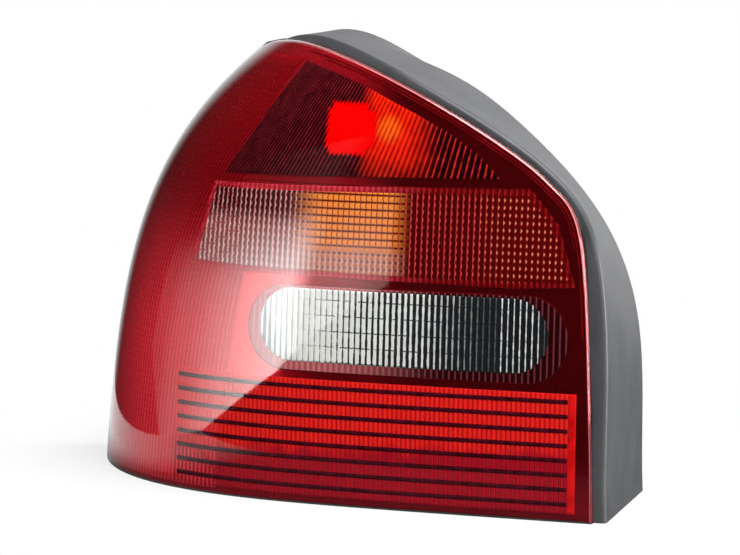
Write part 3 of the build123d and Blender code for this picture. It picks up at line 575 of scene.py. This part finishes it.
def stadium(left, right, low, high):
    """The edges of a stadium, as tangents round each end and straight runs between."""
    radius, middle = (high - low) / 2, (high + low) / 2
    edges = [((left, low), (right, low)), ((right, high), (left, high))]
    for centre, first in ((right - radius, -90), (left + radius, 90)):
        for k in range(ROUND_CUTS):
            turn_by = math.radians(first + 180 * (k + 0.5) / ROUND_CUTS)
            out = Vector((math.cos(turn_by), math.sin(turn_by)))
            on = Vector((centre, middle)) + out * radius
            edges.append((on, on + Vector((-out.y, out.x))))
    return edges


def reverse_panel(window, inset, sag):
    """The reversing lamp's flutes, as far as one outline."""
    return fluted(*REVERSE_CELLS, (8, 6),
                  lambda a, b: (REVERSE_START[0] + a * REVERSE_PITCH, REVERSE_START[1] + b * REVERSE_ROW),
                  stadium(*window), lambda a, b: sag * (0.8 * flute(a) + 0.2 * flute(b)), inset=inset)


# White outboard, a painted reflection of the light in the silvered bowl, falling off to smoky grey in painted
# shade, with pale flute edges and a few painted highlights on flutes at the inboard end.
clear_flutes, tree, shader = new_finish("fluted_clear_acrylic", Roughness=0.4, Specular_IOR_Level=0.0)
height, row = cells(tree, "across")[1], cells(tree, "along")[0]
place = add(tree, "TexCoord", {}).outputs["Object"]
axes = add(tree, "SeparateXYZ", {0: place})
cloud = add(tree, "TexNoise", {"Vector": place, "Scale": 1 / 0.004, "Detail": 1.0}).outputs[0]
uneven = add(tree, "Math", {0: cloud, 1: 0.24, 2: -0.12}, operation="MULTIPLY_ADD").outputs[0]
zigzag = add(tree, "Math", {0: height, 1: 0.12, 2: row}, operation="MULTIPLY_ADD").outputs[0]
cross = add(tree, "Math", {0: zigzag, 1: 0.5}, operation="PINGPONG").outputs[0]
height = add(tree, "Math", {0: height, 1: uneven}).outputs[0]
# Painted reflection and shade: flute crests white outboard, grey inboard.
far = add(tree, "MapRange", {"Value": axes.outputs["X"], "From Min": -0.04, "From Max": 0.16}).outputs[0]
crest_painted_light = add(tree, "ValToRGB", {"Fac": far}, stops=[(0.02, "#e4eae8"), (0.16, "#fcfcf6"), (0.58, "#f4f4f0"),
                                                   (0.68, "#b4b6b6"), (0.76, "#5e6162")])
gap = add(tree, "ValToRGB", {"Fac": far}, stops=[(0.06, "#7c8888"), (0.16, "#98a2a0"), (0.27, "#626868"),
                                                 (0.36, "#2c2e30"), (0.65, "#212325")])
narrow = add(tree, "MapRange", {"Value": axes.outputs["X"], "From Min": 0.01, "From Max": 0.1, "To Min": 0.08,
                                "To Max": 0.41}).outputs[0]
slope = add(tree, "Math", {0: axes.outputs["Z"], 1: 0.6, 2: axes.outputs["X"]}, operation="MULTIPLY_ADD")
slope = add(tree, "MapRange", {"Value": slope.outputs[0], "From Min": 0.05, "From Max": 0.031,
                               "To Max": 0.34}).outputs[0]
narrow = add(tree, "Math", {0: narrow, 1: slope}, operation="MAXIMUM").outputs[0]
over = add(tree, "Math", {0: height, 1: narrow}, operation="SUBTRACT").outputs[0]
over = add(tree, "MapRange", {"Value": over, "From Min": -0.03, "From Max": 0.03}).outputs[0]
shade = add(tree, "Mix", {0: over, 6: gap.outputs[0], 7: crest_painted_light.outputs[0]}, data_type="RGBA").outputs[2]
# Painted highlights on a few flutes at the inboard end.
painted_crest_highlight = add(tree, "ValToRGB", {"Fac": height}, stops=[(0.36, "#1c1e20"), (0.41, "#8a8c8c"), (0.45, "#ffffff")])
beyond = add(tree, "Math", {0: axes.outputs["X"], 1: 0.1355, 2: 0.0125}, operation="COMPARE").outputs[0]
shade = add(tree, "Mix", {0: beyond, 6: shade, 7: painted_crest_highlight.outputs[0]}, data_type="RGBA").outputs[2]
dash = add(tree, "MapRange", {"Value": cross, "From Min": 0.06, "From Max": 0.03, "To Max": 0.85}).outputs[0]
here = add(tree, "MapRange", {"Value": axes.outputs["X"], "From Min": -0.01, "From Max": 0.02}).outputs[0]
broken = add(tree, "MapRange", {"Value": cloud, "From Min": 0.4, "From Max": 0.48}).outputs[0]
here = add(tree, "Math", {0: here, 1: broken}, operation="MULTIPLY").outputs[0]
dash = add(tree, "Math", {0: dash, 1: here}, operation="MULTIPLY").outputs[0]
shade = add(tree, "Mix", {0: dash, 6: shade, 7: linear("#24282a")}, data_type="RGBA").outputs[2]
tree.links.new(shade, shader.inputs["Base Color"])
finished(reverse_panel(REVERSE_CLEAR, PANEL_INSET - 0.12, REVERSE_SAG), "reverse_flutes", clear_flutes,
         "clear_lens", "reverse_lens", wall=PANEL_WALL)

# Border of the reversing lamp.
# The clear insert's edge, tinted by the red lens round it, and the dark weld line that closes it off.
tinted, tree, shader = new_finish("tinted_clear_acrylic", Roughness=0.4, Specular_IOR_Level=0.0)
height = cells(tree, "across")[1]
axes = add(tree, "SeparateXYZ", {0: add(tree, "TexCoord", {}).outputs["Object"]})
left = add(tree, "ValToRGB", {"Fac": height}, stops=[(0.05, "#d88484"), (0.4, "#b8565c")])
right = add(tree, "ValToRGB", {"Fac": height}, stops=[(0.06, "#7c363c"), (0.18, "#34060c"), (0.4, "#260206")])
# Painted light and shade: pale rose outboard, dark inboard.
inboard = add(tree, "MapRange", {"Value": axes.outputs["X"], "From Min": 0.0, "From Max": 0.09},
              interpolation_type="SMOOTHSTEP").outputs[0]
shade = add(tree, "Mix", {0: inboard, 6: left.outputs[0], 7: right.outputs[0]}, data_type="RGBA").outputs[2]
tree.links.new(shade, shader.inputs["Base Color"])
finished(reverse_panel(REVERSE_WINDOW, PANEL_INSET, REVERSE_BORDER_SAG), "reverse_border", tinted,
         "clear_lens", "reverse_lens", wall=PANEL_WALL)
# Melted resin, dark and uneven.
WELD, WELD_SINK = 0.6, 0.07
weld_red = clouded("welded_seam", 10, 2.0, [(0.3, "#3c0208"), (0.7, "#700a14")], Roughness=0.5,
                   Specular_IOR_Level=0.0)
left, right, low, high = REVERSE_WINDOW
seam = reverse_panel((left - WELD, right + WELD, low - WELD, high + WELD), PANEL_INSET + WELD_SINK, 0.0)
finished(seam, "reverse_weld", weld_red, "red_lens", "outer_lens", wall=PANEL_WALL)

# Tail lamp optics.
# The lowest window: fine upright flutes of bright red acrylic, with painted light from the bowl above and
# painted shade at the foot.
TAIL = [(-278, 5), (-9, 5), (-9, 77), (-278, 77)]
TAIL_PITCH, TAIL_ROW, TAIL_SAG = 3.0, 2.0, 0.3
TAIL_START, TAIL_CELLS = (-280, 4.5), (92, 38)
tail = fluted(*TAIL_CELLS, (6, 1),
              lambda a, b: (TAIL_START[0] + a * TAIL_PITCH, TAIL_START[1] + b * TAIL_ROW),
              list(zip(TAIL, TAIL[1:] + TAIL[:1])), lambda a, b: TAIL_SAG * flute(a))
# Painted light: light red where the bowl's light would fall; painted shade: wine red below a ragged line that
# drops inboard.
tail_red, tree, shader = new_finish("tail_red_acrylic", Roughness=0.4, Specular_IOR_Level=0.0)
height = cells(tree, "across")[1]
place = add(tree, "TexCoord", {}).outputs["Object"]
axes = add(tree, "SeparateXYZ", {0: place})
cloud = add(tree, "TexNoise", {"Vector": place, "Scale": 1 / 0.012, "Detail": 1.0}).outputs[0]
painted_lit = add(tree, "ValToRGB", {"Fac": height}, stops=[(0.02, "#c80c14"), (0.14, "#f41e1c"), (0.4, "#ff3026")])
painted_shaded = add(tree, "ValToRGB", {"Fac": height}, stops=[(0.02, "#7c0818"), (0.16, "#cc1c2e"), (0.4, "#b01424")])
# Painted light above the ragged line, painted shade below it.
level = add(tree, "Math", {0: cloud, 1: 0.016, 2: axes.outputs["Z"]}, operation="MULTIPLY_ADD").outputs[0]
level = add(tree, "Math", {0: axes.outputs["X"], 1: -0.05, 2: level}, operation="MULTIPLY_ADD").outputs[0]
bright = add(tree, "MapRange", {"Value": level, "From Min": 0.036, "From Max": 0.048},
             interpolation_type="SMOOTHSTEP").outputs[0]
shade = add(tree, "Mix", {0: bright, 6: painted_shaded.outputs[0], 7: painted_lit.outputs[0]}, data_type="RGBA").outputs[2]
tree.links.new(shade, shader.inputs["Base Color"])
finished(tail, "tail_flutes", tail_red, "red_lens", "outer_lens", wall=PANEL_WALL)

# Bright end of the tail lamp.
# The window's inboard edge is a plain bar of the same acrylic, painted bright as if lit through from behind.
END_BAR, END_FOOT, END_HEIGHT = (-13.6, -9.2), 5.0, 72.0
END_RAISED, END_CROWN = 0.35, 0.2
bar = bmesh.new()
bmesh.ops.create_grid(bar, x_segments=6, y_segments=40, size=0.5)
for vert in bar.verts:
    side = vert.co.x + 0.5
    x = END_BAR[0] + side * (END_BAR[1] - END_BAR[0])
    inset = PANEL_INSET - END_RAISED - END_CROWN * flute(side)
    vert.co = on_window(x, END_FOOT + (vert.co.y + 0.5) * END_HEIGHT, inset)
bright_red = clouded("bright_red_acrylic", 10, 1.0, [(0.3, "#d00c12"), (0.6, "#f81a1a")], Roughness=0.4,
                     Specular_IOR_Level=0.0)
finished(bar, "tail_end_bar", bright_red, "red_lens", "outer_lens", wall=PANEL_WALL)

# Dark ribs of the tail lamp.
# Eight level ribs moulded on the inside of the lens, seen end-on through its flutes as toothed dark lines.
RIB_COUNT, RIB_FIRST, RIB_PITCH, RIB_THICKNESS = 8, 11.0, 8.75, 3.2
RIB_ENDS = (-274.0, -14.0)
RIB_INSET, RIB_TOOTH, RIB_CROWN, RIB_WALL = 0.98, 0.24, 0.1, 0.3
RIB_SEGMENTS = 348
ribs = bmesh.new()
for k in range(RIB_COUNT):
    made = bmesh.ops.create_grid(ribs, x_segments=RIB_SEGMENTS, y_segments=2, size=0.5)["verts"]
    for vert in made:
        x = RIB_ENDS[0] + (vert.co.x + 0.5) * (RIB_ENDS[1] - RIB_ENDS[0])
        tooth = 1 - RIB_TOOTH * flute((x - TAIL_START[0]) / TAIL_PITCH)
        z = RIB_FIRST + k * RIB_PITCH + vert.co.y * RIB_THICKNESS * tooth
        crown = RIB_CROWN * (1 - abs(vert.co.y) * 2)
        vert.co = on_window(x, z, RIB_INSET - crown)
rib_red = clouded("wine_red_acrylic", 4, 2.0, [(0.3, "#38040e"), (0.7, "#5a1020")], Roughness=0.45,
                  Specular_IOR_Level=0.0)
finished(ribs, "tail_ribs", rib_red, "red_lens", "outer_lens", wall=RIB_WALL)

# Housing.
# Dark grey ABS, moulded in one shell with a fine spark-eroded grain that gives it a soft satin sheen.


def coat(material, *names):
    """Gives a finish to nodes that stay as built."""
    for name in names:
        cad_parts[name].material_slots[0].material = material


grey_abs = clouded("grained_grey_abs", 30, 4.0, [(0.3, "#3f4042"), (0.7, "#4b4c4f")], Roughness=0.45,
                   IOR=1.54)
tree = grey_abs.node_tree
place = add(tree, "TexCoord", {}).outputs["Object"]
grain = add(tree, "TexNoise", {"Vector": place, "Scale": 1 / 0.0006, "Detail": 1.0}).outputs[0]
tree.links.new(add(tree, "Bump", {"Height": grain, "Strength": 0.12, "Distance": 0.0002}).outputs[0],
               tree.nodes["Principled BSDF"].inputs["Normal"])
coat(grey_abs, "housing")

# Sealant bead, carrier seal and vent cap.
# Black butyl between lens and housing and two moulded rubber parts at the rear, dull with a dusty bloom.
black_rubber, tree, shader = new_finish("black_rubber", Roughness=0.75, IOR=1.52)
place = add(tree, "TexCoord", {}).outputs["Object"]
bloom = add(tree, "TexNoise", {"Vector": place, "Scale": 1 / 0.008, "Detail": 5.0}).outputs[0]
shade = add(tree, "ValToRGB", {"Fac": bloom}, stops=[(0.35, "#17181a"), (0.75, "#2b2c2e")])
tree.links.new(shade.outputs[0], shader.inputs["Base Color"])
tree.links.new(add(tree, "Bump", {"Height": bloom, "Strength": 0.2, "Distance": 0.0003}).outputs[0],
               shader.inputs["Normal"])
coat(black_rubber, "lens_sealant", "carrier_seal", "vent_cap")

# Reflector.
# Moulded polycarbonate with a vacuum-metallised face, bright and almost clear of haze.
silvered, tree, shader = new_finish("vacuum_metallised", Metallic=1.0, Base_Color=linear("#e8e8e6"))
place = add(tree, "TexCoord", {}).outputs["Object"]
haze = add(tree, "TexNoise", {"Vector": place, "Scale": 1 / 0.02, "Detail": 3.0}).outputs[0]
tree.links.new(add(tree, "MapRange", {"Value": haze, "To Min": 0.06, "To Max": 0.2}).outputs[0],
               shader.inputs["Roughness"])
coat(silvered, "reflector")

# Screws and studs.
# Turned steel with a yellowish zinc plating, its passivated film cloudy over the bright metal.
zinc = clouded("zinc_plated_steel", 6, 4.0, [(0.3, "#a8a494"), (0.7, "#cfc8ae")], Metallic=1.0,
               Roughness=0.32)
coat(zinc, "reflector_screws", "mounting_studs")

# Bulb carrier.
# Natural white polyamide, moulded in one piece, waxy and a little cloudy from its glass filling.
polyamide = clouded("white_polyamide", 12, 5.0, [(0.3, "#c9c5b6"), (0.7, "#dedacc")], Roughness=0.5, IOR=1.53)
coat(polyamide, "bulb_carrier")

# Body seal.
# A die-cut ring of closed-cell foam, charcoal, with its open cells showing as a fine pitted skin.
foam, tree, shader = new_finish("closed_cell_foam", Roughness=0.9, IOR=1.45)
place = add(tree, "TexCoord", {}).outputs["Object"]
cells = add(tree, "TexVoronoi", {"Vector": place, "Scale": 1 / 0.0009}).outputs["Distance"]
shade = add(tree, "ValToRGB", {"Fac": cells}, stops=[(0.1, "#161617"), (0.6, "#353638")])
tree.links.new(shade.outputs[0], shader.inputs["Base Color"])
tree.links.new(add(tree, "Bump", {"Height": cells, "Strength": 0.6, "Distance": 0.0004}).outputs[0],
               shader.inputs["Normal"])
coat(foam, "body_seal")

# Contact strips and connector pins.
# Stamped brass strip, yellow and slightly tarnished, riveted on the carrier.
brass = clouded("stamped_brass", 10, 4.0, [(0.3, "#b08c48"), (0.7, "#d8b468")], Metallic=1.0, Roughness=0.28)
coat(brass, "ground_strip", "stop_strip", "turn_strip", "reverse_strip", "tail_strip", "connector_pins")

# Bulbs.
# Bayonet bulbs: blown glass, clear or amber for the turn lamp, a nickel-plated brass cap and a drawn
# tungsten wire.
BULBS = ("stop", "turn", "reverse", "tail")
glass, tree, shader = new_finish("blown_glass", Transmission_Weight=1.0, IOR=1.5)
amber_glass, amber_tree, amber_shader = new_finish("amber_glass", Transmission_Weight=1.0, IOR=1.5,
                                                   Base_Color=linear("#e89020"))
for blown, gloss in ((tree, shader), (amber_tree, amber_shader)):
    place = add(blown, "TexCoord", {}).outputs["Object"]
    cords = add(blown, "TexNoise", {"Vector": place, "Scale": 1 / 0.01, "Detail": 2.0}).outputs[0]
    blown.links.new(add(blown, "MapRange", {"Value": cords, "To Min": 0.0, "To Max": 0.05}).outputs[0],
                    gloss.inputs["Roughness"])
nickel = clouded("nickel_plated_brass", 5, 3.0, [(0.3, "#b8b0a0"), (0.7, "#d6d0c4")], Metallic=1.0,
                 Roughness=0.25)
tungsten = clouded("drawn_tungsten", 1, 2.0, [(0.3, "#4c4c50"), (0.7, "#78787c")], Metallic=1.0,
                   Roughness=0.4)
for name in BULBS:
    coat(amber_glass if name == "turn" else glass, name + "_bulb_glass")
    coat(nickel, name + "_bulb_cap")
    coat(tungsten, name + "_bulb_filament")

# Camera.
# A long lens a little above the lamp and to its inboard side, as the lamp was photographed.
CAMERA_PLACE, CAMERA_DOWN, CAMERA_ROUND = (0.661306, -1.881982, 0.3859), 7.324, 19
lens = bpy.data.cameras.new("camera")
lens.lens, lens.sensor_width = 155, 36
camera = bpy.data.objects.new("camera", lens)
camera.location = CAMERA_PLACE
camera.rotation_euler = (math.radians(90 - CAMERA_DOWN), 0, math.radians(CAMERA_ROUND))
bpy.context.scene.collection.objects.link(camera)
bpy.context.scene.camera = camera

# Floor.
# A plain white table top that keeps only the lamp's soft shadow.
FLOOR = ((-0.42, -0.27), (0.9, 1.1))
board = bmesh.new()
bmesh.ops.create_grid(board, x_segments=1, y_segments=1, size=0.5)
for vert in board.verts:
    vert.co = (FLOOR[vert.co.x > 0][0], FLOOR[vert.co.y > 0][1], 0)
mesh = bpy.data.meshes.new("floor")
board.to_mesh(mesh)
board.free()
floor = bpy.data.objects.new("floor", mesh)
bpy.context.scene.collection.objects.link(floor)
# Pure white to the eye except round the lamp, where it takes the shadow, and dim where the lens mirrors it.
white, tree, shader = new_finish("white_table", Base_Color=(0.86, 0.86, 0.86, 1), Roughness=0.9)
ray = add(tree, "LightPath", {}).outputs
mirrored = add(tree, "Math", {0: ray["Is Glossy Ray"], 1: ray["Is Transmission Ray"]}, operation="MAXIMUM")
away = add(tree, "VectorMath", {0: add(tree, "TexCoord", {}).outputs["Object"]}, operation="LENGTH")
fade = add(tree, "MapRange", {"Value": away.outputs["Value"], "From Min": 0.2, "From Max": 0.36,
                              "To Min": 0.7}, interpolation_type="SMOOTHSTEP")
share = add(tree, "Math", {0: ray["Is Camera Ray"], 1: fade.outputs[0]}, operation="MULTIPLY")
share = add(tree, "Math", {0: share.outputs[0], 1: mirrored.outputs[0]}, operation="MAXIMUM")
outboard = add(tree, "SeparateXYZ", {0: add(tree, "TexCoord", {}).outputs["Object"]}).outputs["X"]
outboard = add(tree, "MapRange", {"Value": outboard, "From Min": -0.16, "From Max": -0.26, "To Min": 0.08})
plain = add(tree, "Math", {0: ray["Is Camera Ray"], 1: outboard.outputs[0]}, operation="MAXIMUM").outputs[0]
glow = add(tree, "Emission", {"Color": (1, 1, 1, 1), "Strength": plain})
both = add(tree, "MixShader", {0: share.outputs[0], 1: shader.outputs[0], 2: glow.outputs[0]})
tree.links.new(both.outputs[0], tree.nodes["Material Output"].inputs["Surface"])
mesh.materials.append(white)

# Studio.
# A white room behind the lamp, a dark one in front, and soft even light from all round.
ROOM_LIGHT = 0.32
world = bpy.data.worlds.new("studio")
bpy.context.scene.world = world
world.use_nodes = True
tree = world.node_tree
ray = add(tree, "LightPath", {}).outputs
way = add(tree, "SeparateXYZ", {0: add(tree, "TexCoord", {}).outputs["Generated"]}).outputs["Y"]
behind = add(tree, "MapRange", {"Value": way, "From Min": 0.68, "From Max": 0.97, "To Min": 0.02},
             interpolation_type="SMOOTHSTEP").outputs[0]
mirrored = add(tree, "Math", {0: ray["Is Glossy Ray"], 1: ray["Is Transmission Ray"]}, operation="MAXIMUM")
level = add(tree, "Mix", {0: mirrored.outputs[0], 2: ROOM_LIGHT, 3: behind}, data_type="FLOAT").outputs[0]
level = add(tree, "Mix", {0: ray["Is Camera Ray"], 2: level, 3: 1.0}, data_type="FLOAT").outputs[0]
tree.links.new(level, tree.nodes["Background"].inputs["Strength"])
tree.nodes["Background"].inputs["Color"].default_value = (1, 1, 1, 1)

# Soft light at the left.
# A large eight-sided softbox with its tube towards the inboard end; the lens mirrors it as the milky patch.
SOFTBOX = [(713, 222), (640, 640), (-300, 760), (-1250, 640), (-1350, 60), (-855, -120), (-258, -74),
           (273, 37)]
SOFTBOX_AIM, SOFTBOX_TURN, SOFTBOX_AWAY = (30.3, -67.5, 0), math.radians(-50), 1300
SOFTBOX_POWER = 11.6
card = bmesh.new()
facing = Vector((math.sin(SOFTBOX_TURN), -math.cos(SOFTBOX_TURN), 0))
beside = Vector((math.cos(SOFTBOX_TURN), math.sin(SOFTBOX_TURN), 0))
centre = Vector(SOFTBOX_AIM) + facing * SOFTBOX_AWAY
card.faces.new([card.verts.new((centre + beside * a + Vector((0, 0, b))) * 0.001) for a, b in SOFTBOX])
mesh = bpy.data.meshes.new("softbox")
card.to_mesh(mesh)
card.free()
softbox = bpy.data.objects.new("softbox", mesh)
bpy.context.scene.collection.objects.link(softbox)
cloth, tree, shader = new_finish("softbox_cloth")
place = add(tree, "TexCoord", {}).outputs["Object"]
side = add(tree, "VectorMath", {0: place, 1: beside}, operation="DOT_PRODUCT").outputs["Value"]
middle = centre.dot(beside) * 0.001
along = add(tree, "MapRange", {"Value": side, "From Min": middle - 1.75, "From Max": middle + 0.75})
profile = add(tree, "ValToRGB", {"Fac": along.outputs[0]}, stops=[
    (0.02, "#191919"), (0.282, "#2c2c2c"), (0.485, "#656565"), (0.535, "#7a7a7a"), (0.618, "#a4a4a4"),
    (0.722, "#d8d8d8"), (0.806, "#ffffff"), (0.86, "#7c7c7c"), (0.93, "#868686"), (1.0, "#5c5c5c")])
upward = add(tree, "MapRange", {"Value": add(tree, "SeparateXYZ", {0: place}).outputs["Z"], "From Min": 0.47,
                                "From Max": 0.24, "To Min": 0.02}, interpolation_type="SMOOTHSTEP").outputs[0]
power = add(tree, "Math", {0: profile.outputs[0], 1: upward}, operation="MULTIPLY").outputs[0]
power = add(tree, "Math", {0: power, 1: SOFTBOX_POWER}, operation="MULTIPLY").outputs[0]
light = add(tree, "Emission", {"Color": (1, 1, 1, 1), "Strength": power})
tree.links.new(light.outputs[0], tree.nodes["Material Output"].inputs["Surface"])
mesh.materials.append(cloth)
softbox.visible_camera = False

# Other lights.
# A broad fill in front at the right, a soft light overhead, and an upright strip at the side whose
# reflection, with the painted highlight on the lens body's edge, draws the bright line along the lens's
# rounded edge.
LAMPS = (("fill", (1.0, -1.2, 0.7), (0, 0, 0.12), (0.8, 0.8), 7.0),
         ("overhead", (0.5, -0.2, 1.5), (0, 0, 0.1), (1.2, 0.8), 30.0),
         ("strip", (1.4, 0.2, 0.15), (0.18, 0, 0.12), (0.5, 0.7), 22.0))
for name, spot, aim, size, energy in LAMPS:
    lamp = bpy.data.lights.new(name, "AREA")
    lamp.shape = "RECTANGLE"
    lamp.size, lamp.size_y, lamp.energy = size[0], size[1], energy
    hung = bpy.data.objects.new(name, lamp)
    hung.location = spot
    hung.rotation_euler = (Vector(aim) - Vector(spot)).to_track_quat("-Z", "Y").to_euler()
    hung.visible_camera = False
    bpy.context.scene.collection.objects.link(hung)

bpy.context.scene.view_settings.view_transform = "Standard"
